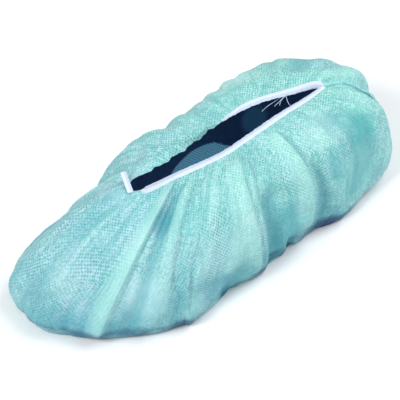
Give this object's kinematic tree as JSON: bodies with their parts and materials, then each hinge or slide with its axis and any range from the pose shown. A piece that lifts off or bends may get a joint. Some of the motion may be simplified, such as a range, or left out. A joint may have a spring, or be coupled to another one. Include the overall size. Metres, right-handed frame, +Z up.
{
  "type": "shoe cover",
  "caption": "A disposable nonwoven shoe cover, open along a slit on top, with a taped elastic edge, gathered sides and a flat sole, that slips over a shoe to keep a floor clean.",
  "frame": {"origin": "On the floor, under the middle of the cover's outer box.", "axes": "X runs from the toe (-X) to the heel (+X), Y across from the near side (-Y) to the far side (+Y), Z up out of the foot opening."},
  "size_m": [0.3478, 0.1544, 0.101],
  "materials": {
    "nonwoven_fabric": "thin dot-bonded nonwoven sheet, matt",
    "elastic_tape": "ribbed white elastic tape, matt",
    "seam_fabric": "pinched double layer of the same nonwoven, matt"
  },
  "bodies": {
    "root": {"cover_body": "nonwoven_fabric", "elastic_binding": "elastic_tape", "front_tape_bar": "elastic_tape", "heel_seam": "seam_fabric"}
  },
  "joints": []
}
